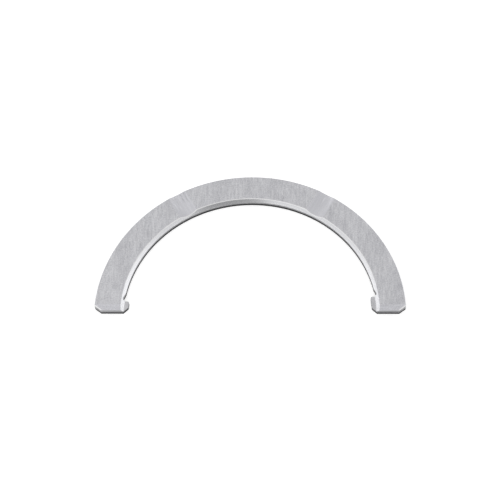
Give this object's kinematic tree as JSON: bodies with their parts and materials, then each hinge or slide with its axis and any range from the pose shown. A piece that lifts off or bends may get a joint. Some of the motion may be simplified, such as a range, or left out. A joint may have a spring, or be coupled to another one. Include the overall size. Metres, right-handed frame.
{
  "type": "thrust washer",
  "caption": "Flat half-ring thrust washer with inner lugs beside relief notches, a bevelled inner edge and shallow radial oil grooves.",
  "frame": {"origin": "middle of the footprint, on the plane of the back face; the ring's own centre is at y = -0.0379", "axes": "+Z out of the running face, +Y from the ends towards the top of the arch, +X towards the end with the longer lug"},
  "size_m": [0.1498, 0.0742, 0.0042],
  "materials": {
    "machined_steel": "fine straight-ground, matt silver grey"
  },
  "bodies": {
    "root": {"thrust_washer_half": "machined_steel"}
  },
  "joints": []
}
